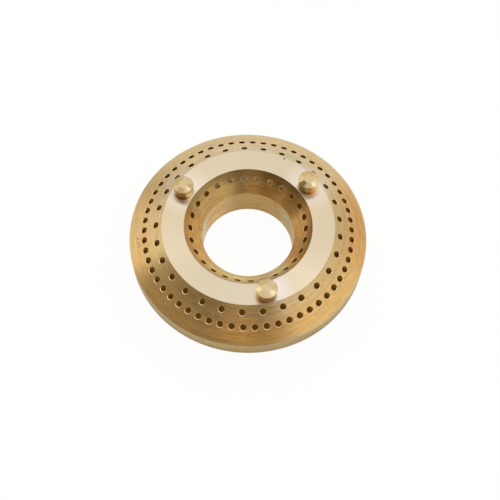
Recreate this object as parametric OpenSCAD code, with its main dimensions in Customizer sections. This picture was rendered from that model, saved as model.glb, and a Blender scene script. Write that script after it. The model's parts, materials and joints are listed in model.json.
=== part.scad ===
// Outer flame ring of a two-ring gas hob burner, turned in brass.
// Three rings of drilled ports open square to the cones into one gas channel.
// The channel is open below. Three turned studs are pressed into the flat top.
// Millimetres, +Z up. Origin on the axis, at the lowest edge of the collar.

/* [Ring] */

// Diameter of the bore through the middle
bore_d = 38.6; // [34:0.2:42]
// Run of the inner cone, from the bore's wall out to the flat top
inner_run = 7.4; // [6.4:0.1:9]
// Width of the flat top
top_w = 9.1; // [8.6:0.1:11]
// Run of the outer cone, from the flat top out to the upright rim
outer_run = 14.2; // [13:0.1:18]
// Step from the rim in to the spigot, which locates the ring on its burner
seat_w = 3.2; // [2.4:0.1:3.6]
// Wall between the outside and the gas channel
wall = 3; // [2.4:0.1:3.4]
// Small bevel on the turned edges
edge_break = 0.2; // [0.1:0.05:0.3]

/* [Heights] */

// Height of the upright rim
rim_h = 7.7; // [6:0.1:10]
// Rise of the outer cone from the rim to the flat top
outer_rise = 9; // [7.5:0.1:11]
// Drop of the inner cone from the flat top to the bore
inner_drop = 8.4; // [7:0.1:10]
// Length of the steep lead between the inner cone and the bore
lead_h = 1.8; // [1:0.1:2.6]
// How far the lead stands back from the bore
lead_w = 0.2; // [0.1:0.05:0.4]
// How far the collar and the spigot reach below the rim
seat_drop = 5.5; // [3.5:0.5:8]

/* [Ports] */

// Diameter of every gas port
port_d = 2.5; // [1.6:0.1:2.8]
// Number of ports in the upper ring, the lower ring has twice as many
upper_ports = 29; // [20:1:30]
// Number of ports in the inner ring
inner_ports = 27; // [18:1:28]
// Distance of the lower ring of ports in from the rim
lower_set = 6.5; // [5.8:0.1:7]
// Distance of the upper ring of ports out from the flat top
upper_set = 2.6; // [2.2:0.1:3]
// Distance of the inner ring of ports in from the flat top
inner_set = 2.7; // [2.2:0.1:3.4]
// Bearing of the first port in the lower ring
lower_start = 1.7; // [0:0.1:6]
// Bearing of the first port in the upper ring
upper_start = 6.8; // [0:0.1:12]
// Bearing of the first port in the inner ring
inner_start = 4.5; // [0:0.1:13]
// Most that an inner port stands off its even step, as they are drilled unevenly
inner_swing = 4; // [0:0.1:5]
// Bearing at which the inner ports stand furthest on from their even steps
inner_swing_az = 218; // [0:1:360]

/* [Studs] */

// Diameter of a stud's body where it stands on the flat top
stud_d = 8.1; // [7:0.1:8.2]
// Height of a stud up to the edge of its head
stud_h = 4.8; // [3.6:0.1:6]
// How far the head stands out past the body
head_lip = 0.2; // [0.1:0.05:0.35]
// Thickness of the head's edge
head_edge = 0.5; // [0.3:0.1:0.8]
// Rise of the shallow crown on the head
crown_h = 0.5; // [0.3:0.1:1]
// Diameter of the flat in the middle of the crown
crown_d = 4; // [3:0.1:5]
// Diameter of the shank pressed into the flat top
shank_d = 4; // [3:0.1:5]
// Bearing of the stud at the right
right_az = 38; // [30:0.5:45]
// Bearing of the stud at the left
left_az = 150.5; // [140:0.5:160]
// Bearing of the stud at the front
front_az = 284.5; // [275:0.5:295]

/* [Hidden] */

// sides drawn on the ring, on a port and on a stud
$fn = 72;
port_fn = 13;
stud_fn = 24;

// how far a cut runs past the face that it opens
past = 1;

// a press fit: the hole is the shank's own size
press_gap = 0;

// radii of the outside, from the axis outwards
bore_r = bore_d / 2;
foot_r = bore_r + lead_w;
top_in_r = bore_r + inner_run;
top_out_r = top_in_r + top_w;
rim_r = top_out_r + outer_run;
spigot_r = rim_r - seat_w;

// heights of the outside, from the seat upwards
rim_z = seat_drop;
cone_z = rim_z + rim_h;
top_z = cone_z + outer_rise;
foot_z = top_z - inner_drop;

// slopes of the two cones from the level
outer_a = atan(outer_rise / outer_run);
inner_a = atan(inner_drop / (top_in_r - foot_r));

// the gas channel keeps the wall's thickness under every face
roof_z = top_z - wall;
chan_out_r = spigot_r - wall;
chan_in_r = bore_r + wall;
outer_roof_r = top_out_r - wall * tan(outer_a / 2);
inner_roof_r = top_in_r + wall * tan(inner_a / 2);
outer_eave_z = roof_z - (chan_out_r - outer_roof_r) * tan(outer_a);
inner_eave_z = roof_z - (inner_roof_r - chan_in_r) * tan(inner_a);

// places of the three rings of ports on the cones
lower_r = rim_r - lower_set;
lower_z = cone_z + lower_set * tan(outer_a);
upper_r = top_out_r + upper_set;
upper_z = top_z - upper_set * tan(outer_a);
inner_r = top_in_r - inner_set;
inner_z = top_z - inner_set * tan(inner_a);

// bearing of an inner port: its even step, and the slow swing round the ring
function even_az(i) = inner_start + i * 360 / inner_ports;
function inner_az(i) = even_az(i) + inner_swing * cos(even_az(i) - inner_swing_az);

// the studs stand just inside the bevel at the flat's outer edge
stud_r = stud_d / 2;
head_r = stud_r + head_lip;
stud_pcr = top_out_r - edge_break - stud_r;

// one drill pointing down through the wall below z = 0
module drill() {
    translate([0, 0, -wall - past])
        cylinder(h = wall + 2 * past, d = port_d, $fn = port_fn);
}

// one hole for a stud's shank, up through the roof of the channel
module shank_hole() {
    translate([0, 0, roof_z - past])
        cylinder(h = wall + 2 * past, d = shank_d + 2 * press_gap, $fn = stud_fn);
}

// the turned section of the ring, without the channel
module ring_section() {
    e = edge_break;
    polygon([
        [bore_r + e, 0],
        [spigot_r - e, 0],
        [spigot_r, e],
        [spigot_r, rim_z],
        [rim_r - e, rim_z],
        [rim_r, rim_z + e],
        [rim_r, cone_z],
        [top_out_r + e * cos(outer_a), top_z - e * sin(outer_a)],
        [top_out_r - e, top_z],
        [top_in_r + e, top_z],
        [top_in_r - e * cos(inner_a), top_z - e * sin(inner_a)],
        [foot_r, foot_z],
        [bore_r, foot_z - lead_h],
        [bore_r, e]
    ]);
}

// the gas channel, open below
module channel_section() {
    polygon([
        [chan_in_r, -past],
        [chan_out_r, -past],
        [chan_out_r, outer_eave_z],
        [outer_roof_r, roof_z],
        [inner_roof_r, roof_z],
        [chan_in_r, inner_eave_z]
    ]);
}

// the ring, turned in one piece and drilled
module burner_ring() {
    color([0.80, 0.64, 0.36])
        difference() {
            rotate_extrude() ring_section();
            rotate_extrude() channel_section();
            for (i = [0 : 2 * upper_ports - 1])
                rotate([0, 0, lower_start + i * 180 / upper_ports])
                    translate([lower_r, 0, lower_z])
                        rotate([0, outer_a, 0]) drill();
            for (i = [0 : upper_ports - 1])
                rotate([0, 0, upper_start + i * 360 / upper_ports])
                    translate([upper_r, 0, upper_z])
                        rotate([0, outer_a, 0]) drill();
            for (i = [0 : inner_ports - 1])
                rotate([0, 0, inner_az(i)])
                    translate([inner_r, 0, inner_z])
                        rotate([0, -inner_a, 0]) drill();
            for (az = [right_az, left_az, front_az])
                rotate([0, 0, az])
                    translate([stud_pcr, 0, 0]) shank_hole();
        }
}

// one turned stud: crowned head, body and shank, flush with the channel's roof
module stud(az) {
    edge_z = top_z + stud_h;
    color([0.86, 0.72, 0.42])
        rotate([0, 0, az])
            translate([stud_pcr, 0, 0])
                rotate_extrude($fn = stud_fn)
                    polygon([
                        [0, roof_z],
                        [shank_d / 2 - edge_break, roof_z],
                        [shank_d / 2, roof_z + edge_break],
                        [shank_d / 2, top_z],
                        [stud_r, top_z],
                        [stud_r, edge_z - head_edge],
                        [head_r, edge_z - head_edge],
                        [head_r, edge_z],
                        [crown_d / 2, edge_z + crown_h],
                        [0, edge_z + crown_h]
                    ]);
}

module stud_right() {
    stud(right_az);
}

module stud_left() {
    stud(left_az);
}

module stud_front() {
    stud(front_az);
}

burner_ring();
stud_right();
stud_left();
stud_front();
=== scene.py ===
import json
import math

import bpy
import numpy as np
from mathutils import Matrix, Vector


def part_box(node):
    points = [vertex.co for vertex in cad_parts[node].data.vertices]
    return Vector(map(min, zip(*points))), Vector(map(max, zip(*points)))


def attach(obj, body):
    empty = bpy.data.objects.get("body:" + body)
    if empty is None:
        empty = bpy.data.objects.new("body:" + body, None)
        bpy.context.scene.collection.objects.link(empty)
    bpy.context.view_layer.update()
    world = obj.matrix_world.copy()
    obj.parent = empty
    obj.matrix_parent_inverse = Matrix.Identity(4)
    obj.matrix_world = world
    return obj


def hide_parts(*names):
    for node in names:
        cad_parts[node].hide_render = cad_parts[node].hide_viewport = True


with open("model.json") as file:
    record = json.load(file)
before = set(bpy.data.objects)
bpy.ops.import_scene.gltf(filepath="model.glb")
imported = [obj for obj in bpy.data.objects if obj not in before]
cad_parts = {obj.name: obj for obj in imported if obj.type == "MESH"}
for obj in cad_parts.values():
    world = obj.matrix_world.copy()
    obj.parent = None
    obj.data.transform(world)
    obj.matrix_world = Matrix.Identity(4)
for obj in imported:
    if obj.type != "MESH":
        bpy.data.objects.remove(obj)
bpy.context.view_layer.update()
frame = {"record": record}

# A turned and drilled brass flame ring with three pressed-in studs.
# Metres. The sizes follow the frame, and the rest are real sizes in millimetres.
MM = 0.001
RECORD_MOUNTS = {mount["name"]: mount for mount in frame["record"]["mounts"]}

# sizes of the ring, read from the frame
RIM_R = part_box("burner_ring")[1].x
TOP_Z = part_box("burner_ring")[1].z
BORE_R = RECORD_MOUNTS["bore"]["dims"]["r_mm"] * MM
SPIGOT_R = RECORD_MOUNTS["spigot"]["dims"]["r_mm"] * MM
SEAT_Z = RECORD_MOUNTS["rim_seat"]["pos_m"][2]

# sizes of the ring that the frame doesn't state
OUTER_RUN = 14.2 * MM
OUTER_RISE = 9.0 * MM
TOP_W = 9.1 * MM
INNER_DROP = 8.4 * MM
LEAD_H = 1.8 * MM
LEAD_W = 0.2 * MM
WALL = 3.0 * MM
TOP_OUT_R = RIM_R - OUTER_RUN
TOP_IN_R = TOP_OUT_R - TOP_W
CONE_Z = TOP_Z - OUTER_RISE
FOOT_R = BORE_R + LEAD_W
FOOT_Z = TOP_Z - INNER_DROP
OUTER_A = math.atan2(OUTER_RISE, OUTER_RUN)
INNER_A = math.atan2(INNER_DROP, TOP_IN_R - FOOT_R)

# the gas channel behind the faces
ROOF_Z = TOP_Z - WALL
CHANNEL_OUT_R = SPIGOT_R - WALL
CHANNEL_IN_R = BORE_R + WALL
OUTER_ROOF_R = TOP_OUT_R - WALL * math.tan(OUTER_A / 2)
INNER_ROOF_R = TOP_IN_R + WALL * math.tan(INNER_A / 2)
OUTER_EAVE_Z = ROOF_Z - (CHANNEL_OUT_R - OUTER_ROOF_R) * math.tan(OUTER_A)
INNER_EAVE_Z = ROOF_Z - (INNER_ROOF_R - CHANNEL_IN_R) * math.tan(INNER_A)

# ports: radius, rounded mouth on each cone, and how far past the wall a drill runs
PORT_R = 1.25 * MM
OUTER_MOUTH = 0.35 * MM
INNER_MOUTH = 0.12 * MM
PAST = 1.0 * MM
LOWER_SET = 6.5 * MM
UPPER_SET = 2.6 * MM
INNER_SET = 2.7 * MM
UPPER_PORTS = 29
INNER_PORTS = 27

# studs: radii and heights from the flat top
STUD_HEAD_R = 4.25 * MM
STUD_BODY_R = 4.05 * MM
STUD_SHANK_R = 2.0 * MM
STUD_EDGE_H = 4.8 * MM
STUD_CROWN_H = 0.5 * MM
STUD_CROWN_R = 2.0 * MM
STUD_HEAD_EDGE = 0.5 * MM
STUD_NECK = 0.25 * MM

# steps round a turned piece, round a port and round a fillet
RING_STEPS = 360
STUD_STEPS = 96
PORT_STEPS = 40
FILLET_STEPS = 4


class Value:
    """A node's output that takes part in Python expressions; each operator adds one Math node."""

    def __init__(self, maker, socket):
        self.maker = maker
        self.socket = socket

    def math(self, operation, *others):
        return self.maker.add("ShaderNodeMath", {"operation": operation}, [self, *others])

    def __add__(self, other):
        return self.math("ADD", other)

    def __radd__(self, other):
        return self.math("ADD", other)

    def __sub__(self, other):
        return self.math("SUBTRACT", other)

    def __rsub__(self, other):
        return self.maker.add("ShaderNodeMath", {"operation": "SUBTRACT"}, [other, self])

    def __mul__(self, other):
        return self.math("MULTIPLY", other)

    def __rmul__(self, other):
        return self.math("MULTIPLY", other)

    def __truediv__(self, other):
        return self.math("DIVIDE", other)

    def __pow__(self, other):
        return self.math("POWER", other)

    def __neg__(self):
        return self.math("MULTIPLY", -1.0)


class NodeMaker:
    """Adds nodes to a tree. Settings are set first, then the sockets get values or links."""

    def __init__(self, tree):
        self.tree = tree
        tree.nodes.clear()

    def add(self, kind, settings=None, inputs=None, output=0):
        node = self.tree.nodes.new(kind)
        for name, setting in (settings or {}).items():
            if name == "stops":
                self.set_stops(node.color_ramp, setting)
            else:
                setattr(node, name, setting)
        pairs = inputs.items() if isinstance(inputs, dict) else enumerate(inputs or [])
        for key, value in pairs:
            self.feed(node.inputs[key], value)
        return Value(self, node.outputs[output]) if len(node.outputs) else node

    def set_stops(self, ramp, stops):
        while len(ramp.elements) > 1:
            ramp.elements.remove(ramp.elements[-1])
        for place, colour in stops:
            element = ramp.elements[0] if place == stops[0][0] else ramp.elements.new(place)
            element.position = place
            element.color = (*colour, 1.0)

    def feed(self, socket, value):
        if isinstance(value, Value):
            self.tree.links.new(value.socket, socket)
        elif hasattr(socket.default_value, "__len__") and len(socket.default_value) == 4:
            socket.default_value = (*value, 1.0)[:4]
        else:
            socket.default_value = value

    def vector(self, operation, *inputs, output=0, scale=None):
        value = self.add("ShaderNodeVectorMath", {"operation": operation}, list(inputs), output)
        if scale is not None:
            self.feed(value.socket.node.inputs["Scale"], scale)
        return value

    def blend(self, factor, first, second, way="MIX"):
        settings = {"data_type": "RGBA", "blend_type": way}
        return self.add("ShaderNodeMix", settings, {0: factor, 6: first, 7: second}, output=2)

    def smooth(self, value, low, high, to_low=0.0, to_high=1.0):
        """to_low below low, to_high above high, and a smooth step between."""
        settings = {"interpolation_type": "SMOOTHSTEP"}
        return self.add("ShaderNodeMapRange", settings, [value, low, high, to_low, to_high])

    def noise(self, place, scale, detail=2.0, roughness=0.5, output="Fac"):
        inputs = {"Vector": place, "Scale": scale, "Detail": detail, "Roughness": roughness}
        return self.add("ShaderNodeTexNoise", {}, inputs, output)


# Turned sections

def rounded(corners, closed=True):
    """Points of an outline whose corners (r, z, fillet) are rounded, with the outward normal at each."""
    points = []
    normals = []
    count = len(corners)
    for i, (r, z, fillet) in enumerate(corners):
        here = np.array([r, z])
        if not closed and i in (0, count - 1):
            points.append(here)
            normals.append(np.array([0.0, 1.0 if z > 0 and i == count - 1 else -1.0]))
            continue
        before = np.array(corners[i - 1][:2])
        after = np.array(corners[(i + 1) % count][:2])
        way_in = (here - before) / np.linalg.norm(here - before)
        way_out = (after - here) / np.linalg.norm(after - here)
        normal_in = np.array([way_in[1], -way_in[0]])
        normal_out = np.array([way_out[1], -way_out[0]])
        turn = math.acos(np.clip(way_in @ way_out, -1, 1))
        cut = fillet * math.tan(turn / 2)
        convex = way_in[0] * way_out[1] - way_in[1] * way_out[0] > 0
        side = -1 if convex else 1
        centre = here - way_in * cut + side * normal_in * fillet
        for step in range(FILLET_STEPS + 1):
            share = step / FILLET_STEPS
            normal = normal_in * math.sin((1 - share) * turn) + normal_out * math.sin(share * turn)
            normal = normal / np.linalg.norm(normal)
            points.append(centre - side * normal * fillet)
            normals.append(normal)
    return np.array(points), np.array(normals)


def ring_section():
    """The ring's section, anticlockwise, with broken edges and the channel open below."""
    edge = 0.2 * MM
    fine = 0.06 * MM
    return rounded([
        (CHANNEL_OUT_R, 0.0, edge),
        (SPIGOT_R, 0.0, edge),
        (SPIGOT_R, SEAT_Z, fine),
        (RIM_R, SEAT_Z, edge),
        (RIM_R, CONE_Z, fine),
        (TOP_OUT_R, TOP_Z, edge),
        (TOP_IN_R, TOP_Z, edge),
        (FOOT_R, FOOT_Z, fine),
        (BORE_R, FOOT_Z - LEAD_H, fine),
        (BORE_R, 0.0, edge),
        (CHANNEL_IN_R, 0.0, edge),
        (CHANNEL_IN_R, INNER_EAVE_Z, edge),
        (INNER_ROOF_R, ROOF_Z, edge),
        (OUTER_ROOF_R, ROOF_Z, edge),
        (CHANNEL_OUT_R, OUTER_EAVE_Z, edge),
    ])


def stud_section():
    """Half of a stud's section from the shank's foot, round the head, to the middle of the crown."""
    edge = TOP_Z + STUD_EDGE_H
    under = edge - STUD_HEAD_EDGE
    fine = 0.04 * MM
    return rounded([
        (0.0, ROOF_Z, 0.0),
        (STUD_SHANK_R, ROOF_Z, fine),
        (STUD_SHANK_R, TOP_Z, fine),
        (STUD_BODY_R - STUD_NECK, TOP_Z, fine),
        (STUD_BODY_R, TOP_Z + STUD_NECK, fine),
        (STUD_BODY_R, under - STUD_NECK, fine),
        (STUD_BODY_R - STUD_NECK, under, fine),
        (STUD_HEAD_R, under, 0.1 * MM),
        (STUD_HEAD_R, edge, 0.14 * MM),
        (STUD_CROWN_R, edge + STUD_CROWN_H, 0.6 * MM),
        (0.0, edge + STUD_CROWN_H, 0.0),
    ], closed=False)


# Geometry Nodes

def new_tree(name, inputs):
    """A geometry tree with one geometry in and out, and named inputs (name, socket type)."""
    tree = bpy.data.node_groups.new(name, "GeometryNodeTree")
    tree.interface.new_socket("Geometry", in_out="INPUT", socket_type="NodeSocketGeometry")
    for label, socket_type in inputs:
        tree.interface.new_socket(label, in_out="INPUT", socket_type=socket_type)
    tree.interface.new_socket("Geometry", in_out="OUTPUT", socket_type="NodeSocketGeometry")
    return tree, NodeMaker(tree)


def turning_tree():
    """Sweeps a section round the axis: a lathe in Geometry Nodes."""
    tree, maker = new_tree("turned section", [
        ("Steps", "NodeSocketInt"),
        ("Path radius", "NodeSocketFloat"),
        ("Closed", "NodeSocketBool"),
    ])
    given = tree.nodes.new("NodeGroupInput").outputs
    section = maker.add("GeometryNodeMeshToCurve", {}, {"Mesh": Value(maker, given["Geometry"])})
    path = maker.add("GeometryNodeCurvePrimitiveCircle", {"mode": "RADIUS"}, {
        "Resolution": Value(maker, given["Steps"]),
        "Radius": Value(maker, given["Path radius"]),
    })
    turned = maker.add("GeometryNodeCurveToMesh", {}, {"Curve": path, "Profile Curve": section})
    merged = maker.add("GeometryNodeMergeByDistance", {}, {"Geometry": turned, "Distance": 0.002 * MM})
    outward = maker.add("GeometryNodeFlipFaces", {}, {"Mesh": merged})
    maker.add("NodeGroupOutput", {}, {"Geometry": outward})
    return tree


def drilling_tree():
    """Drills a ring of holes, and marks each new face with its hole's seat, axis and mouth."""
    tree, maker = new_tree("drilled ring of ports", [
        ("Drill", "NodeSocketObject"),
        ("Mouth", "NodeSocketFloat"),
        ("Ports", "NodeSocketInt"),
        ("Radius", "NodeSocketFloat"),
        ("Height", "NodeSocketFloat"),
        ("Lean", "NodeSocketFloat"),
        ("First bearing", "NodeSocketFloat"),
        ("Swing", "NodeSocketFloat"),
        ("Swing bearing", "NodeSocketFloat"),
    ])
    sockets = tree.nodes.new("NodeGroupInput").outputs
    given = {socket.name: Value(maker, socket) for socket in sockets if socket.name}
    index = maker.add("GeometryNodeInputIndex")
    even = index * (2 * math.pi) / given["Ports"] + given["First bearing"]
    bearing = (even - given["Swing bearing"]).math("COSINE") * given["Swing"] + even
    cosine = bearing.math("COSINE")
    sine = bearing.math("SINE")
    radius = given["Radius"]
    seat = maker.add("ShaderNodeCombineXYZ", {}, [radius * cosine, radius * sine, given["Height"]])
    points = maker.add("GeometryNodePoints", {}, {"Count": given["Ports"], "Position": seat})
    leaning = given["Lean"].math("SINE")
    upright = given["Lean"].math("COSINE")
    axis = maker.add("ShaderNodeCombineXYZ", {}, [leaning * cosine, leaning * sine, upright])
    marks = [
        ("hole_seat", "FLOAT_VECTOR", seat),
        ("hole_axis", "FLOAT_VECTOR", axis),
        ("hole_mouth", "FLOAT", given["Mouth"]),
    ]
    for name, kind, value in marks:
        points = maker.add(
            "GeometryNodeStoreNamedAttribute", {"data_type": kind, "domain": "POINT"},
            {"Geometry": points, "Name": name, "Value": value},
        )
    turn = maker.add("ShaderNodeCombineXYZ", {}, [0.0, given["Lean"], bearing])
    drill = maker.add("GeometryNodeObjectInfo", {}, {"Object": given["Drill"]}, "Geometry")
    drills = maker.add("GeometryNodeInstanceOnPoints", {}, {
        "Points": points,
        "Instance": drill,
        "Rotation": maker.add("FunctionNodeEulerToRotation", {}, [turn]),
    })
    drills = maker.add("GeometryNodeRealizeInstances", {}, {"Geometry": drills})
    for name, kind, value in marks:
        carried = maker.add("GeometryNodeInputNamedAttribute", {"data_type": kind}, {"Name": name})
        drills = maker.add(
            "GeometryNodeStoreNamedAttribute", {"data_type": kind, "domain": "FACE"},
            {"Geometry": drills, "Name": name, "Value": carried},
        )
    drilled = maker.add("GeometryNodeMeshBoolean", {"operation": "DIFFERENCE", "solver": "MANIFOLD"}, {
        "Mesh 1": given["Geometry"],
        "Mesh 2": drills,
    })
    maker.add("NodeGroupOutput", {}, {"Geometry": drilled})
    return tree


def finishing_tree():
    """Makes the result real and gives it its material."""
    tree, maker = new_tree("finish", [("Material", "NodeSocketMaterial")])
    given = tree.nodes.new("NodeGroupInput").outputs
    real = maker.add("GeometryNodeRealizeInstances", {}, {"Geometry": Value(maker, given["Geometry"])})
    smooth = maker.add("GeometryNodeSetShadeSmooth", {}, {"Geometry": real, "Shade Smooth": True})
    finished = maker.add("GeometryNodeSetMaterial", {}, {
        "Geometry": smooth,
        "Material": Value(maker, given["Material"]),
    })
    maker.add("NodeGroupOutput", {}, {"Geometry": finished})
    return tree


def add_nodes(piece, tree, values):
    """Puts a tree on a piece and sets its inputs by their identifiers."""
    modifier = piece.modifiers.new(tree.name, "NODES")
    modifier.node_group = tree
    for item in tree.interface.items_tree:
        if item.item_type == "SOCKET" and item.in_out == "INPUT" and item.name in values:
            modifier[item.identifier] = values[item.name]


def plain_mesh(piece):
    """Turns a piece and its modifiers into a plain mesh, and removes the modifiers."""
    graph = bpy.context.evaluated_depsgraph_get()
    mesh = bpy.data.meshes.new_from_object(piece.evaluated_get(graph))
    piece.modifiers.clear()
    old = piece.data
    piece.data = mesh
    mesh.name = piece.name
    bpy.data.meshes.remove(old)
    return mesh


def new_piece(name, vertices, edges=(), faces=()):
    mesh = bpy.data.meshes.new(name)
    mesh.from_pydata([tuple(v) for v in vertices], list(edges), list(faces))
    piece = bpy.data.objects.new(name, mesh)
    bpy.context.scene.collection.objects.link(piece)
    return piece


def section_piece(name, points, path_r, closed=True):
    """An outline in its own XY plane, ready to be swept round a path of radius path_r."""
    count = len(points)
    edges = [(i, (i + 1) % count) for i in range(count if closed else count - 1)]
    return new_piece(name, [(r - path_r, -z, 0.0) for r, z in points], edges)


def drill_piece(name, profile):
    """A closed cutter turned from a profile of (radius, height) points, with flat ends."""
    vertices = []
    for radius, height in profile:
        for step in range(PORT_STEPS):
            angle = 2 * math.pi * step / PORT_STEPS
            vertices.append((radius * math.cos(angle), radius * math.sin(angle), height))
    faces = [tuple(reversed(range(PORT_STEPS)))]
    for level in range(len(profile) - 1):
        for step in range(PORT_STEPS):
            following = (step + 1) % PORT_STEPS
            low = level * PORT_STEPS
            high = low + PORT_STEPS
            faces.append((low + step, low + following, high + following, high + step))
    last = (len(profile) - 1) * PORT_STEPS
    faces.append(tuple(range(last, last + PORT_STEPS)))
    return new_piece(name, vertices, faces=faces)


# Normals that follow the true turned and drilled surfaces

def near_segment(places, points, closed):
    """For each place (r, z), the outline's nearest segment."""
    starts = points if closed else points[:-1]
    ends = np.roll(points, -1, axis=0) if closed else points[1:]
    along = ends - starts
    length2 = np.maximum((along ** 2).sum(1), 1e-18)
    best = np.zeros(len(places), int)
    best_gap = np.full(len(places), 1e9)
    for i in range(len(starts)):
        share = np.clip(((places - starts[i]) @ along[i]) / length2[i], 0, 1)
        gap = ((places - starts[i] - share[:, None] * along[i]) ** 2).sum(1)
        closer = gap < best_gap
        best[closer] = i
        best_gap[closer] = gap[closer]
    return best


def set_true_normals(mesh, section, centre=(0.0, 0.0), closed=True, drilled=False):
    """Gives every face corner the normal of the turned or drilled surface that it lies on."""
    points, point_normals = section
    corners = np.zeros(len(mesh.loops), int)
    mesh.loops.foreach_get("vertex_index", corners)
    places = np.zeros(len(mesh.vertices) * 3)
    mesh.vertices.foreach_get("co", places)
    places = places.reshape(-1, 3) - np.array([*centre, 0.0])
    starts = np.zeros(len(mesh.polygons), int)
    totals = np.zeros(len(mesh.polygons), int)
    middles = np.zeros(len(mesh.polygons) * 3)
    mesh.polygons.foreach_get("loop_start", starts)
    mesh.polygons.foreach_get("loop_total", totals)
    mesh.polygons.foreach_get("center", middles)
    face_of = np.repeat(np.arange(len(starts)), totals)
    middles = middles.reshape(-1, 3) - np.array([*centre, 0.0])
    spots = places[corners]
    radii = np.hypot(spots[:, 0], spots[:, 1])
    middle_section = np.stack([np.hypot(middles[:, 0], middles[:, 1]), middles[:, 2]], 1)
    segment = near_segment(middle_section, points, closed)[face_of]
    start = points[segment]
    end = points[(segment + 1) % len(points)]
    along = end - start
    offset = np.stack([radii, spots[:, 2]], 1) - start
    share = (offset * along).sum(1) / np.maximum((along ** 2).sum(1), 1e-18)
    share = np.clip(share, 0, 1)[:, None]
    flat = point_normals[segment] * (1 - share) + point_normals[(segment + 1) % len(points)] * share
    outward = spots[:, :2] / np.maximum(radii, 1e-9)[:, None]
    normals = np.concatenate([flat[:, :1] * outward, flat[:, 1:]], 1)
    if drilled:
        seats = read_marks(mesh, "hole_seat", 3)[face_of]
        axes = read_marks(mesh, "hole_axis", 3)[face_of]
        mouths = read_marks(mesh, "hole_mouth", 1)[face_of, 0]
        bored = np.linalg.norm(axes, axis=1) > 0.5
        offset = spots - seats
        height = (offset * axes).sum(1)
        radial = offset - height[:, None] * axes
        reach = np.linalg.norm(radial, axis=1)
        radial = radial / np.maximum(reach, 1e-9)[:, None]
        rise = np.clip((height + mouths) / np.maximum(mouths, 1e-9), 0, 1)
        rise = np.where(mouths > 0, rise, 0.0)
        angle = np.minimum(np.arcsin(rise), MOUTH_TURN)
        wall = -np.cos(angle)[:, None] * radial + np.sin(angle)[:, None] * axes
        normals = np.where(bored[:, None], wall, normals)
    normals = normals / np.linalg.norm(normals, axis=1)[:, None]
    mesh.polygons.foreach_set("use_smooth", np.ones(len(mesh.polygons), bool))
    mesh.normals_split_custom_set([tuple(n) for n in normals])


def read_marks(mesh, name, width):
    """A mark stored on the faces, one row a face."""
    values = np.zeros(len(mesh.polygons) * width)
    mesh.attributes[name].data.foreach_get("vector" if width == 3 else "value", values)
    return values.reshape(-1, width)


# how far the rounding of a port's mouth turns before it meets the face
MOUTH_TURN = math.radians(70)


def port_drill_profile(mouth):
    """A straight drill whose mouth opens in a fillet, and then in a cone past the face."""
    profile = [(PORT_R, -WALL - PAST), (PORT_R, -mouth)]
    for step in range(1, FILLET_STEPS + 1):
        angle = MOUTH_TURN * step / FILLET_STEPS
        profile.append((PORT_R + mouth * (1 - math.cos(angle)), mouth * (math.sin(angle) - 1)))
    radius, height = profile[-1]
    profile.append((radius + PAST * math.sin(MOUTH_TURN), height + PAST * math.cos(MOUTH_TURN)))
    return profile


def make_ring(material):
    section = ring_section()
    path_r = (TOP_IN_R + TOP_OUT_R) / 2
    ring = section_piece("flame_ring", section[0], path_r)
    add_nodes(ring, turning_tree(), {"Steps": RING_STEPS, "Path radius": path_r, "Closed": True})
    outer_drill = drill_piece("outer_drill", port_drill_profile(OUTER_MOUTH))
    inner_drill = drill_piece("inner_drill", port_drill_profile(INNER_MOUTH))
    shank_drill = drill_piece("shank_drill", [(STUD_SHANK_R, -WALL - PAST), (STUD_SHANK_R, PAST)])
    drilling = drilling_tree()
    lower_z = CONE_Z + LOWER_SET * math.tan(OUTER_A)
    upper_z = TOP_Z - UPPER_SET * math.tan(OUTER_A)
    inner_z = TOP_Z - INNER_SET * math.tan(INNER_A)
    port_rings = [
        (outer_drill, OUTER_MOUTH, 2 * UPPER_PORTS, RIM_R - LOWER_SET, lower_z, OUTER_A, 1.7, 0.0),
        (outer_drill, OUTER_MOUTH, UPPER_PORTS, TOP_OUT_R + UPPER_SET, upper_z, OUTER_A, 6.8, 0.0),
        (inner_drill, INNER_MOUTH, INNER_PORTS, TOP_IN_R - INNER_SET, inner_z, -INNER_A, 4.5, 4.0),
    ]
    for drill, mouth, ports, radius, height, lean, first, swing in port_rings:
        add_nodes(ring, drilling, {
            "Drill": drill,
            "Mouth": mouth,
            "Ports": ports,
            "Radius": radius,
            "Height": height,
            "Lean": lean,
            "First bearing": math.radians(first),
            "Swing": math.radians(swing),
            "Swing bearing": math.radians(218),
        })
    for node in STUD_NODES:
        centre = stud_centre(node)
        add_nodes(ring, drilling, {
            "Drill": shank_drill,
            "Mouth": 0.0,
            "Ports": 1,
            "Radius": centre.length,
            "Height": TOP_Z,
            "Lean": 0.0,
            "First bearing": math.atan2(centre.y, centre.x),
            "Swing": 0.0,
            "Swing bearing": 0.0,
        })
    add_nodes(ring, finishing_tree(), {"Material": material})
    mesh = plain_mesh(ring)
    for drill in (outer_drill, inner_drill, shank_drill):
        bpy.data.objects.remove(drill)
    set_true_normals(mesh, section, drilled=True)
    mark_ports(mesh)
    return ring


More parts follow.
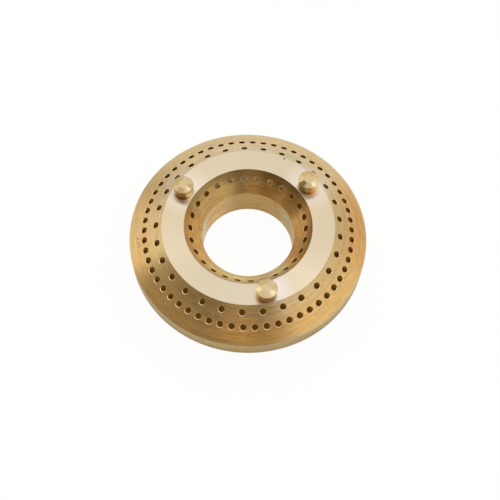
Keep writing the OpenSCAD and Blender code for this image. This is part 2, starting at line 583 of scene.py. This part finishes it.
def mark_ports(mesh):
    """Marks the faces of each port's wall, and those of its rounded mouth, with where painted glints and
    painted highlight bands go.
    """
    axes = read_marks(mesh, "hole_axis", 3)
    mouths = read_marks(mesh, "hole_mouth", 1)[:, 0]
    middles = np.zeros(len(mesh.polygons) * 3)
    mesh.polygons.foreach_get("center", middles)
    middles = middles.reshape(-1, 3)
    offset = middles - read_marks(mesh, "hole_seat", 3)
    height = (offset * axes).sum(1)
    bored = np.linalg.norm(axes, axis=1) > 0.5
    in_port = bored & (height < -mouths)
    # at the front the light from behind catches the left side of each mouth
    left = -(0.86 * offset[:, 0] + 0.5 * offset[:, 1]) / np.maximum(np.hypot(offset[:, 0], offset[:, 1]), 1e-9)
    lit = np.clip(left * 1.8 - 0.4, 0, 1) * np.clip(-middles[:, 1] / (10 * MM) - 0.8, 0, 1)
    on_mouth = (bored & (height >= -mouths)) * (0.25 + 0.75 * lit)
    # at the back two painted highlight bands run down the wall of each inner port, beside its lowest line
    radial = offset - height[:, None] * axes
    lowest = axes[:, 2:] * axes - np.array([0.0, 0.0, 1.0])
    turned = (radial * lowest).sum(1) / np.maximum(np.linalg.norm(radial, axis=1), 1e-9)
    turned = turned / np.maximum(np.linalg.norm(lowest, axis=1), 1e-9)
    inner = (axes[:, :2] * middles[:, :2]).sum(1) < 0
    beside = (turned < math.cos(math.radians(9))) & (turned > math.cos(math.radians(36)))
    bright = (in_port & inner & (middles[:, 1] > 17 * MM)) * (0.25 + 0.75 * beside)
    for name in ("hole_axis", "hole_seat", "hole_mouth"):
        mesh.attributes.remove(mesh.attributes[name])
    for name, values in (("in_port", in_port), ("on_mouth", on_mouth), ("bright_band", bright)):
        mark = mesh.attributes.new(name, "FLOAT", "FACE")
        mark.data.foreach_set("value", values.astype(np.float32))


STUD_NODES = ("stud_right", "stud_left", "stud_front")


def stud_centre(node):
    low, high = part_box(node)
    return Vector(((low.x + high.x) / 2, (low.y + high.y) / 2))


def make_stud(node, material):
    """A turned stud, swept as half a section round a path of no radius, then moved to its seat."""
    points, normals = stud_section()
    stud = section_piece(node + "_turned", points, 0.0, closed=False)
    add_nodes(stud, bpy.data.node_groups["turned section"], {"Steps": STUD_STEPS, "Path radius": 1e-6})
    add_nodes(stud, bpy.data.node_groups["finish"], {"Material": material})
    mesh = plain_mesh(stud)
    centre = stud_centre(node)
    mesh.transform(Matrix.Translation((centre.x, centre.y, 0.0)))
    set_true_normals(mesh, (points, normals), centre, closed=False)
    return stud


# Brass, as it was turned

# base colours of the brass by place; several of them are painted shade, painted highlight and painted
# reflection
CONE_BRASS = (0.78, 0.60, 0.33)
RIM_BRASS = (0.80, 0.57, 0.27)
FRONT_RIM_LIGHT = (0.98, 0.67, 0.30)
RIM_EDGE_HIGHLIGHT = (0.82, 0.68, 0.45)
RIM_SIDE_BRASS = (0.61, 0.42, 0.15)
RIM_FOOT_SHADE = (0.48, 0.34, 0.14)
INNER_BRASS = (0.87, 0.66, 0.35)
TINTED_BRASS = (0.47, 0.35, 0.16)
GOLD_TINT_BRASS = (0.75, 0.53, 0.25)
GOLD_BRASS = (1.00, 0.80, 0.38)
BORE_BRASS = (0.77, 0.51, 0.25)
OLIVE_BORE_BRASS = (0.68, 0.54, 0.24)
BACK_BORE_BRASS = (0.64, 0.42, 0.14)
GOLD_BORE_BRASS = (0.93, 0.62, 0.23)
PALE_BORE_BRASS = (1.00, 0.84, 0.57)
FLAT_BRASS = (0.86, 0.77, 0.62)
SHEEN_BRASS = (0.98, 0.91, 0.89)
OLIVE_BRASS = (0.62, 0.53, 0.27)
ORANGE_BRASS = (0.82, 0.51, 0.22)
DULL_AND_SHADED_BRASS = (0.46, 0.30, 0.13)
PORT_BRASS = (0.70, 0.52, 0.12)
BACK_PORT_SHADE = (0.42, 0.29, 0.09)
HIGHLIGHT_BAND_BRASS = (1.00, 0.92, 0.82)
PALE_AND_GLINT_BRASS = (1.00, 0.88, 0.64)
GRIME = (0.16, 0.09, 0.03)
STUD_CORNER_SHADE = (0.27, 0.14, 0.04)
FLAT_SHADE = (0.34, 0.22, 0.08)
SOOT = (0.03, 0.02, 0.01)
# the bore's tone all round, with sectors of painted reflection: bearing, half width, tone
BORE_TONES = (BORE_BRASS, [
    (32, 18, OLIVE_BORE_BRASS),
    (78, 34, BACK_BORE_BRASS),
    (144, 19, GOLD_BORE_BRASS),
    (177, 18, PALE_BORE_BRASS),
])
# painted shade and painted reflection in darker and warmer stretches of the inner cone and the bore: bearing,
# half width, tone
INNER_SHADES = [
    (8, 14, (1.20, 1.10, 1.00)),
    (34, 10, (0.66, 0.64, 0.60)),
    (66, 10, (0.80, 0.72, 0.62)),
    (80, 6, (0.88, 0.84, 0.78)),
    (106, 8, (0.80, 0.76, 0.72)),
    (136, 16, (0.84, 0.82, 0.74)),
    (183, 20, (1.00, 0.88, 0.78)),
    (212, 10, (1.00, 0.88, 0.82)),
    (234, 10, (0.97, 0.92, 0.88)),
    (310, 12, (1.25, 1.30, 1.30)),
    (328, 12, (1.05, 0.95, 0.78)),
]
# the band of the inner cone above its ports, and the rim's side of the outer cone, likewise painted shade and
# painted reflection
TOP_BAND_SHADES = [
    (6, 14, (0.72, 0.55, 0.40)),
    (30, 8, (1.50, 1.45, 1.50)),
    (84, 14, (1.22, 1.35, 1.60)),
    (118, 4, (0.80, 0.78, 0.80)),
    (135, 10, (1.20, 1.28, 1.45)),
    (330, 8, (1.30, 1.28, 1.15)),
]
RIM_SHADES = [
    (8, 24, (1.04, 0.88, 0.78)),
    (276, 6, (1.16, 1.10, 1.00)),
]
# turning lines: how many a metre, and how fast they change on their way round
LINE_SCALE = 1500
LINE_DRIFT = 0.03


class Turned:
    """Where a point of a turned piece lies: out from the piece's axis, and up along it."""

    def __init__(self, maker, centre=(0.0, 0.0)):
        place = maker.add("ShaderNodeTexCoord", {}, {}, "Object")
        offset = {"Vector": place, "Location": (-centre[0], -centre[1], 0.0)}
        self.place = maker.add("ShaderNodeMapping", {"vector_type": "POINT"}, offset)
        parts = maker.add("ShaderNodeSeparateXYZ", {}, [self.place]).socket.node.outputs
        self.x = Value(maker, parts[0])
        self.y = Value(maker, parts[1])
        self.up = Value(maker, parts[2])
        self.out = (self.x * self.x + self.y * self.y).math("SQRT")
        self.maker = maker

    def lines(self, scale, detail, roughness=0.6, drift=LINE_DRIFT):
        """Fine lines that run round the axis, and change slowly on the way."""
        run = [self.out, self.up, self.x * drift]
        inputs = {
            "Vector": self.maker.add("ShaderNodeCombineXYZ", {}, run),
            "W": self.y * drift,
            "Scale": scale,
            "Detail": detail,
            "Roughness": roughness,
        }
        return self.maker.add("ShaderNodeTexNoise", {"noise_dimensions": "4D"}, inputs, "Fac")


def shaded(maker, colour, value):
    """A colour times a value."""
    grey = maker.add("ShaderNodeCombineXYZ", {}, [value, value, value])
    return maker.vector("MULTIPLY", colour, grey)


def new_material(name):
    material = bpy.data.materials.new(name)
    material.use_nodes = True
    return material, NodeMaker(material.node_tree)


def attribute(maker, name):
    return maker.add("ShaderNodeAttribute", {"attribute_name": name}, {}, "Fac")


# dents and dark spots on the ring: bearing in degrees, radius and size in millimetres
SPOTS = [
    (65.3, 35.5, 0.50),
    (248.6, 35.9, 0.26),
    (176.2, 19.6, 0.35),
]
# scratches on the outer cone: bearing, radius, length, width, and degrees turned from the bearing line
DARK_SCRATCHES = [
    (185.4, 46.3, 1.6, 0.28, 98),
    (187.8, 46.2, 1.2, 0.30, 86),
    (190.2, 45.9, 1.4, 0.24, 62),
    (189.0, 45.6, 1.0, 0.18, 20),
]
PALE_SCRATCHES = [
    (222.0, 46.2, 1.2, 0.18, 70),
    (225.5, 46.6, 1.5, 0.18, 60),
    (251.0, 40.8, 1.2, 0.22, 75),
]


def near_spot(maker, spot, bearing, radius, size):
    """1 at a spot on the upper side of the ring, 0 past its size."""
    turn = math.radians(bearing)
    across = spot.x - radius * MM * math.cos(turn)
    along = spot.y - radius * MM * math.sin(turn)
    gap = (across * across + along * along).math("SQRT")
    return maker.smooth(gap, 0.5 * size * MM, size * MM, 1.0, 0.0)


def on_scratch(maker, spot, bearing, radius, length, width, turned):
    """1 along a short straight scratch, 0 beside it."""
    turn = math.radians(bearing)
    lie = turn + math.radians(turned)
    across = spot.x - radius * MM * math.cos(turn)
    along = spot.y - radius * MM * math.sin(turn)
    down = (across * math.cos(lie) + along * math.sin(lie)).math("ABSOLUTE")
    beside = (along * math.cos(lie) - across * math.sin(lie)).math("ABSOLUTE")
    ends = maker.smooth(down, 0.3 * length * MM, 0.5 * length * MM, 1.0, 0.0)
    return ends * maker.smooth(beside, 0.2 * width * MM, width * MM, 1.0, 0.0)


def ring_tone(maker, spot, on_flat, is_inner, at_left):
    """The base colour of the ring's outside: each face has its own, with streaks along the lines, and painted
    reflection, highlight and shade by bearing and beside the studs.
    """
    to_rim = maker.smooth(spot.out, TOP_OUT_R + 2.0 * MM, RIM_R - 4.0 * MM)
    # the rim's side of the outer cone is painted lighter and warmer towards the front: painted light
    at_front = maker.smooth(spot.y - spot.x * 0.3, 10.0 * MM, -30.0 * MM)
    rim_side = maker.blend(at_front * 0.6, RIM_BRASS, FRONT_RIM_LIGHT)
    outer = maker.blend(to_rim, CONE_BRASS, in_shades(maker, spot, rim_side, RIM_SHADES))
    # a painted highlight along the rim's top edge
    outer = maker.blend(maker.smooth(spot.out, RIM_R - 0.9 * MM, RIM_R - 0.2 * MM), outer, RIM_EDGE_HIGHLIGHT)
    # the rim's upright side is painted darker towards its foot: painted shade
    rim_foot = maker.smooth(spot.up, CONE_Z - 2.0 * MM, SEAT_Z + 1.0 * MM)
    side = maker.blend(rim_foot, RIM_SIDE_BRASS, RIM_FOOT_SHADE)
    outer = maker.blend(maker.smooth(spot.up, CONE_Z - 0.1 * MM, CONE_Z - 0.5 * MM), outer, side)
    to_bore = maker.smooth(spot.out, TOP_IN_R - 0.2 * MM, TOP_IN_R - 4.4 * MM)
    # the left of the inner cone is painted lighter and more golden: painted light
    top_side = maker.blend(at_left, TINTED_BRASS, GOLD_TINT_BRASS)
    top_side = in_shades(maker, spot, top_side, TOP_BAND_SHADES)
    inner = maker.blend(to_bore, top_side, maker.blend(at_left, INNER_BRASS, GOLD_BRASS))
    inner = in_shades(maker, spot, inner, INNER_SHADES)
    bore = in_sectors(maker, spot, BORE_TONES)
    inner = maker.blend(maker.smooth(spot.up, FOOT_Z + 0.1 * MM, FOOT_Z - 0.1 * MM), inner, bore)
    tone = maker.blend(is_inner, outer, inner)
    streak = spot.lines(420, 2.0, 0.55, drift=0.09)
    share = 0.5 + is_inner * (0.15 - at_left * 0.5)
    tone = maker.blend(maker.smooth(streak, 0.52, 0.75) * share, tone, OLIVE_BRASS)
    tone = maker.blend(maker.smooth(streak, 0.48, 0.25) * share, tone, ORANGE_BRASS)
    # painted shade on the outer cone near the flat, at the front left
    near_flat = maker.smooth(spot.out, 42.0 * MM, 36.0 * MM) * sector(maker, spot, 246, 14, 14)
    tone = maker.blend(near_flat * (1.0 - is_inner) * 0.45, tone, DULL_AND_SHADED_BRASS)
    flat = FLAT_BRASS
    for node in STUD_NODES:
        beside, half_width, strength, shade = STUD_SURROUNDS[node]
        near = Turned(maker, stud_centre(node))
        # a painted sheen on the flat beside each stud, reaching a little onto the outer cone
        sheen_mask = maker.smooth(near.out, 5.0 * MM, 13.0 * MM, strength, 0.0)
        sheen_mask = sheen_mask * sector(maker, near, beside, half_width, 25)
        flat = maker.blend(sheen_mask, flat, SHEEN_BRASS)
        tone = maker.blend(sheen_mask * (1.0 - is_inner) * 0.35, tone, SHEEN_BRASS)
        # a painted shadow on the flat round each stud's foot, on the side the table gives
        base = maker.smooth(near.out, STUD_BODY_R, STUD_BODY_R + 1.4 * MM, 0.7, 0.0)
        flat = maker.blend(base * sector(maker, near, shade, 40, 25), flat, FLAT_SHADE)
    return maker.blend(on_flat, tone, flat)


def ring_brass():
    """Satin brass with fine turning lines, a paler faced flat, and dull metal inside."""
    material, maker = new_material("turned ring brass")
    spot = Turned(maker)
    on_outer = TOP_Z - (spot.out - TOP_OUT_R) * math.tan(OUTER_A)
    on_inner = TOP_Z - (TOP_IN_R - spot.out) * math.tan(INNER_A)
    surface_z = on_outer.math("MINIMUM", on_inner).math("MINIMUM", TOP_Z)
    depth = surface_z - spot.up
    in_channel = maker.smooth(depth, 2.0 * MM, 2.6 * MM)
    in_channel = in_channel * maker.smooth(spot.out, CHANNEL_IN_R - 0.1 * MM, CHANNEL_IN_R - 0.05 * MM)
    past_wall = maker.smooth(spot.out, CHANNEL_OUT_R + 0.05 * MM, CHANNEL_OUT_R + 0.1 * MM)
    in_channel = in_channel * (1.0 - past_wall)
    in_port = attribute(maker, "in_port")
    on_mouth = attribute(maker, "on_mouth")
    on_flat = maker.smooth(spot.up, TOP_Z - 0.12 * MM, TOP_Z - 0.04 * MM)
    lines = spot.lines(LINE_SCALE, 3.0) * 0.55 + spot.lines(LINE_SCALE, 3.0, drift=0.2) * 0.45
    fine = spot.lines(3.6 * LINE_SCALE, 1.0)
    is_inner = maker.smooth(spot.out, TOP_IN_R + 0.1 * MM, TOP_IN_R - 0.05 * MM)
    # the left of the inner cone, where painted light lies; there it is also rougher
    at_left = maker.smooth(spot.x, 12.0 * MM, -6.0 * MM) * maker.smooth(spot.y, 9.0 * MM, 1.0 * MM)
    strength = 1.25 + is_inner * 0.55 - on_flat * 1.17
    face = ring_tone(maker, spot, on_flat, is_inner, at_left)
    face = shaded(maker, face, (lines - 0.5) * strength + 1.0)
    face = maker.blend(in_channel, face, DULL_AND_SHADED_BRASS)
    # the rounded mouths are paler all round, with a painted glint on the left of each mouth at the front
    face = maker.blend(on_mouth, face, PALE_AND_GLINT_BRASS)
    # the walls of the ports at the back are painted darker: painted shade
    behind = maker.smooth(spot.y, 17.0 * MM, 27.0 * MM)
    port = maker.blend(behind, PORT_BRASS, BACK_PORT_SHADE)
    # painted highlight bands on the walls of the inner ports at the back
    port = maker.blend(attribute(maker, "bright_band"), port, HIGHLIGHT_BAND_BRASS)
    colour = maker.blend(in_port, face, port)
    outside = maker.smooth(depth, 0.5 * MM, 0.4 * MM)
    spots = 0.0
    for bearing, radius, size in SPOTS:
        spots = near_spot(maker, spot, bearing, radius, size) + spots
    spots = spots * outside
    colour = maker.blend(spots, colour, SOOT)
    scratches = 0.0
    for marks, tone in ((DARK_SCRATCHES, GRIME), (PALE_SCRATCHES, PALE_AND_GLINT_BRASS)):
        for bearing, radius, length, width, turned in marks:
            scratch = on_scratch(maker, spot, bearing, radius, length, width, turned) * outside
            colour = maker.blend(scratch * 0.95, colour, tone)
            scratches = scratch + scratches
    roughness = 0.29 + (lines - 0.5) * 0.14
    roughness = roughness + in_channel * 0.2 - in_port * 0.03 - on_mouth * 0.1
    roughness = roughness + is_inner * at_left * (1.0 - in_port) * 0.18
    cut = (lines * 0.6 + fine * 0.4) * (1.0 - on_flat * 0.85)
    cut = cut - spots * 6.0 - scratches * 2.5
    grooves = maker.add("ShaderNodeBump", {}, {"Strength": 0.7, "Distance": 0.02 * MM, "Height": cut})
    surface = maker.add("ShaderNodeBsdfPrincipled", {}, {
        "Base Color": colour,
        "Metallic": 1.0,
        "Roughness": roughness,
        "Anisotropic": 0.7,
        "Anisotropic Rotation": 0.25,
        "Normal": grooves,
    })
    maker.add("ShaderNodeOutputMaterial", {}, {"Surface": surface})
    return material


# tones of the studs, most of them used for painted reflections
CREAM = (0.88, 0.74, 0.44)
PALE_CREAM = (0.94, 0.83, 0.63)
GOLD_CREAM = (0.82, 0.63, 0.35)
SAND = (0.78, 0.65, 0.42)
BEIGE = (0.66, 0.51, 0.28)
TAN = (0.76, 0.53, 0.26)
DARK_TAN = (0.62, 0.44, 0.21)
PALE_OLIVE = (0.68, 0.56, 0.27)
DARK_OLIVE = (0.24, 0.16, 0.06)
BODY_ORANGE = (0.92, 0.47, 0.12)
BODY_GOLD = (1.00, 0.82, 0.42)
BODY_BROWN = (0.54, 0.28, 0.06)
BODY_RED = (0.55, 0.30, 0.10)
BODY_DARK_RED = (0.34, 0.16, 0.04)
BODY_TAN = (0.50, 0.32, 0.08)
BODY_YELLOW = (0.70, 0.47, 0.11)
BODY_OLIVE = (0.27, 0.19, 0.06)
# each stud's crown and body: the tone all round, then sectors of painted reflection (bearing, half width,
# tone)
CROWN_REFLECTION_TONES = {
    "stud_right": (CREAM, [
        (84, 66, TAN),
        (190, 14, SAND),
        (269, 33, BEIGE),
        (221, 20, DARK_OLIVE),
        (334, 18, PALE_CREAM),
    ]),
    "stud_left": (BEIGE, [
        (46, 44, SAND),
        (252, 18, DARK_TAN),
        (306, 20, SAND),
    ]),
    "stud_front": (SAND, [
        (98, 12, BEIGE),
        (130, 26, PALE_OLIVE),
        (197, 20, CREAM),
        (255, 26, GOLD_CREAM),
    ]),
}
BODY_REFLECTION_TONES = {
    "stud_right": (BODY_OLIVE, [(268, 16, BODY_YELLOW), (330, 44, BODY_ORANGE), (332, 14, BODY_GOLD)]),
    "stud_left": (BODY_BROWN, [(195, 18, BODY_TAN), (316, 27, BODY_GOLD)]),
    "stud_front": (BODY_RED, [(195, 30, BODY_ORANGE), (322, 16, BODY_DARK_RED)]),
}
# the flat beside each stud: where a painted sheen makes it pale, half the width of that, how pale, and where a
# painted shadow lies
STUD_SURROUNDS = {
    "stud_right": (38, 180, 0.85, 235),
    "stud_left": (150, 180, 0.85, 258),
    "stud_front": (15, 70, 1.0, 270),
}


def sector(maker, spot, bearing, half_width, soft=8):
    """1 in a sector round the axis, 0 outside it. A half width of 180 is all round."""
    if half_width >= 180:
        return 1.0
    turn = math.radians(bearing)
    ahead = (spot.x * math.cos(turn) + spot.y * math.sin(turn)) / spot.out.math("MAXIMUM", 0.01 * MM)
    edge = math.cos(math.radians(half_width + soft))
    return maker.smooth(ahead, edge, math.cos(math.radians(max(half_width - soft, 0))))


def in_shades(maker, spot, colour, shades):
    """A colour with sectors where it is painted darker, paler or warmer, as painted shade and painted
    reflection.
    """
    for bearing, half_width, shade in shades:
        turned_to = sector(maker, spot, bearing, half_width)
        colour = maker.blend(turned_to, colour, maker.vector("MULTIPLY", colour, shade))
    return colour


def in_sectors(maker, spot, tones):
    """One tone all round, with sectors of other tones laid over it."""
    tone, sectors = tones
    for bearing, half_width, other in sectors:
        tone = maker.blend(sector(maker, spot, bearing, half_width), tone, other)
    return tone


def stud_brass(node):
    """Bright brass with turning lines round the stud's own axis, painted reflections by bearing, and painted
    shade in its two corners.
    """
    material, maker = new_material(node + " bright brass")
    spot = Turned(maker, stud_centre(node))
    lines = spot.lines(1.5 * LINE_SCALE, 3.0)
    edge = TOP_Z + STUD_EDGE_H
    under = edge - STUD_HEAD_EDGE
    # the crown and body carry painted reflections, in sectors round the stud's axis
    crown = in_sectors(maker, spot, CROWN_REFLECTION_TONES[node])
    middle = maker.smooth(spot.out, STUD_CROWN_R + 0.1 * MM, STUD_CROWN_R - 0.2 * MM)
    crown = maker.blend(middle, crown, SAND)
    body = in_sectors(maker, spot, BODY_REFLECTION_TONES[node])
    side = maker.smooth(spot.up, under - 0.05 * MM, under + 0.05 * MM)
    brass = maker.blend(side, body, CREAM)
    brass = maker.blend(maker.smooth(spot.up, edge - 0.12 * MM, edge), brass, crown)
    # painted shade where the body meets the flat, and in the neck under the head
    base = maker.smooth(spot.up, TOP_Z + 0.25 * MM, TOP_Z + 0.75 * MM, 1.0, 0.0)
    neck = maker.smooth((spot.up - under + 0.2 * MM).math("ABSOLUTE"), 0.15 * MM, 0.5 * MM, 1.0, 0.0)
    colour = shaded(maker, brass, (lines - 0.5) * 0.5 + 1.0)
    colour = maker.blend(base * 0.6 + neck * 0.8, colour, STUD_CORNER_SHADE)
    grooves = maker.add("ShaderNodeBump", {}, {"Strength": 0.7, "Distance": 0.02 * MM, "Height": lines})
    surface = maker.add("ShaderNodeBsdfPrincipled", {}, {
        "Base Color": colour,
        "Metallic": 1.0,
        "Roughness": 0.32 + (lines - 0.5) * 0.12,
        "Anisotropic": 0.75,
        "Anisotropic Rotation": 0.25,
        "Normal": grooves,
    })
    maker.add("ShaderNodeOutputMaterial", {}, {"Surface": surface})
    return material


ring = make_ring(ring_brass())
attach(ring, "root")
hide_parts("burner_ring")
for node in STUD_NODES:
    stud = make_stud(node, stud_brass(node))
    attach(stud, "root")
    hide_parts(node)


# Camera, as it stood for the photograph

def make_camera():
    """Looks down on the ring from the front: 62.5 degrees above the level, 363 mm from the flat top."""
    height = math.radians(62.535)
    distance = 362.9 * MM
    pan = math.radians(0.151)
    tilt = math.radians(-1.654)
    roll = math.radians(-1.336)
    away = Vector((0.0, math.cos(height), -math.sin(height)))
    above = Vector((0.0, math.sin(height), math.cos(height)))
    right = Vector((1.0, 0.0, 0.0))
    side = math.cos(pan) * right - math.sin(pan) * away
    ahead = math.sin(pan) * right + math.cos(pan) * away
    up = math.cos(tilt) * above - math.sin(tilt) * ahead
    ahead = math.sin(tilt) * above + math.cos(tilt) * ahead
    camera_x = math.cos(roll) * side - math.sin(roll) * up
    camera_y = math.sin(roll) * side + math.cos(roll) * up
    camera = bpy.data.objects.new("camera", bpy.data.cameras.new("camera"))
    camera.matrix_world = Matrix((camera_x, camera_y, -ahead)).transposed().to_4x4()
    camera.location = Vector((0.0, 0.0, TOP_Z)) - away * distance
    camera.data.sensor_width = 36.0
    camera.data.lens = 63.194
    camera.data.clip_start = 0.01
    camera.data.clip_end = 50.0
    bpy.context.scene.collection.objects.link(camera)
    bpy.context.scene.camera = camera


make_camera()


def toward(azimuth, elevation):
    """The direction at an azimuth and an elevation, both in degrees."""
    turn = math.radians(azimuth)
    rise = math.radians(elevation)
    return (math.cos(turn) * math.cos(rise), math.sin(turn) * math.cos(rise), math.sin(rise))


# tones of the room that the metal mirrors, by azimuth in degrees: low down, and higher up at the front
WALLS = [
    (-180, (0.25, 0.20, 0.12)),
    (-165, (0.20, 0.14, 0.07)),
    (-140, (0.17, 0.11, 0.05)),
    (-122, (0.18, 0.12, 0.05)),
    (-100, (0.31, 0.21, 0.12)),
    (-76, (0.25, 0.18, 0.10)),
    (-62, (0.60, 0.52, 0.38)),
    (-20, (0.66, 0.58, 0.42)),
    (0, (0.82, 0.76, 0.60)),
    (25, (0.67, 0.59, 0.48)),
    (45, (0.66, 0.62, 0.53)),
    (60, (0.79, 0.85, 0.94)),
    (90, (0.94, 1.10, 1.55)),
    (112, (0.84, 0.89, 1.02)),
    (130, (0.48, 0.46, 0.38)),
    (142, (0.85, 0.76, 0.70)),
    (155, (0.92, 0.86, 0.78)),
    (171, (1.00, 0.90, 0.72)),
    (180, (0.25, 0.20, 0.12)),
]
UPPER_WALLS = [
    (-180, (0.37, 0.30, 0.19)),
    (-150, (0.31, 0.24, 0.14)),
    (-122, (0.18, 0.13, 0.07)),
    (-98, (0.43, 0.28, 0.13)),
    (-76, (0.16, 0.12, 0.06)),
    (-62, (0.34, 0.26, 0.16)),
    (-46, (0.84, 0.72, 0.56)),
    (-20, (0.89, 0.81, 0.68)),
    (25, (0.75, 0.66, 0.52)),
    (170, (0.93, 0.85, 0.67)),
    (180, (0.37, 0.30, 0.19)),
]
CEILING = (0.92, 0.90, 0.86)


def make_world():
    """A pale room whose walls differ in tone, which shows only in what the metal mirrors."""
    world = bpy.data.worlds.new("soft studio")
    bpy.context.scene.world = world
    world.use_nodes = True
    maker = NodeMaker(world.node_tree)
    direction = maker.add("ShaderNodeTexCoord", {}, {}, "Generated")
    parts = maker.add("ShaderNodeSeparateXYZ", {}, [direction]).socket.node.outputs
    turn = Value(maker, parts[1]).math("ARCTAN2", Value(maker, parts[0])) / (2 * math.pi) + 0.5
    bands = []
    for tones in (WALLS, UPPER_WALLS):
        stops = [((degrees + 180) / 360, tone) for degrees, tone in tones]
        bands.append(maker.add("ShaderNodeValToRGB", {"stops": stops}, [turn]))
    rise = Value(maker, parts[2])
    higher = maker.smooth(rise, math.sin(math.radians(22)), math.sin(math.radians(34)))
    overhead = maker.smooth(rise, math.sin(math.radians(55)), math.sin(math.radians(75)))
    room = maker.blend(overhead, maker.blend(higher, bands[0], bands[1]), CEILING)
    light_path = maker.tree.nodes.new("ShaderNodeLightPath")
    seen = Value(maker, light_path.outputs["Is Camera Ray"])
    colour = maker.blend(seen, room, (1.0, 1.0, 1.0))
    background = maker.add("ShaderNodeBackground", {}, {"Color": colour, "Strength": 1.0})
    maker.add("ShaderNodeOutputWorld", {}, {"Surface": background})


def make_lamps():
    """Three soft lamps that draw the sheen across the turning lines."""
    lamps = [
        ("lamp_back_right", 58, 30, 0.20, 1.6, (1.0, 0.98, 0.94)),
        ("lamp_left", 142, 60, 0.20, 1.4, (1.0, 0.96, 0.90)),
        ("lamp_right", 22, 69, 0.20, 2.9, (1.0, 0.97, 0.90)),
    ]
    for name, azimuth, elevation, size, radiance, tint in lamps:
        data = bpy.data.lights.new(name, "AREA")
        data.shape = "SQUARE"
        data.size = size
        data.energy = radiance * math.pi * size * size
        data.color = tint
        lamp = bpy.data.objects.new(name, data)
        direction = Vector(toward(azimuth, elevation))
        lamp.location = direction * 1.2
        lamp.rotation_euler = direction.to_track_quat("Z", "Y").to_euler()
        lamp.visible_camera = False
        bpy.context.scene.collection.objects.link(lamp)


def make_floor():
    """A pale floor that glows to the camera, apart from the dark that the ring's channel covers: there it
    carries painted shade, and for mirrored rays a painted glow at the back.
    """
    size = 3.0
    drop = 0.01 * MM
    corners = [(-size, -size, -drop), (size, -size, -drop), (size, size, -drop), (-size, size, -drop)]
    floor = new_piece("floor", corners, faces=[(0, 1, 2, 3)])
    material, maker = new_material("pale floor")
    spot = Turned(maker)
    covered = maker.smooth(spot.out, BORE_R, BORE_R + 1.0 * MM)
    covered = covered * maker.smooth(spot.out, SPIGOT_R - 1.0 * MM, SPIGOT_R, 1.0, 0.0)
    light_path = maker.tree.nodes.new("ShaderNodeLightPath")
    seen = Value(maker, light_path.outputs["Is Camera Ray"])
    mirrored = Value(maker, light_path.outputs["Is Glossy Ray"])
    share = (seen * 0.92 + mirrored * 0.4).math("MAXIMUM", covered)
    # under the channel: painted shade to the camera, and to mirrored rays a painted glow towards the back
    behind = maker.smooth(spot.y, 21.0 * MM, 29.0 * MM)
    seen_channel_shade = maker.blend(behind, (0.085, 0.034, 0.004), (0.20, 0.12, 0.05))
    mirrored_channel_glow = maker.blend(behind, (0.19, 0.11, 0.015), (1.0, 0.92, 0.86))
    hidden = maker.blend(seen, mirrored_channel_glow, seen_channel_shade)
    light = maker.blend(covered, (1.0, 1.0, 1.0), hidden)
    paper = maker.add("ShaderNodeBsdfDiffuse", {}, {"Color": (0.9, 0.9, 0.9)})
    glow = maker.add("ShaderNodeEmission", {}, {"Color": light, "Strength": 1.035})
    mixed = maker.add("ShaderNodeMixShader", {}, [share, paper, glow])
    clear = maker.add("ShaderNodeBsdfTransparent", {}, {})
    below = maker.add("ShaderNodeNewGeometry", {}, {}, "Backfacing")
    ground = maker.add("ShaderNodeMixShader", {}, [below, mixed, clear])
    maker.add("ShaderNodeOutputMaterial", {}, {"Surface": ground})
    floor.data.materials.append(material)


make_lamps()
make_world()
make_floor()
bpy.context.scene.view_settings.view_transform = "Standard"
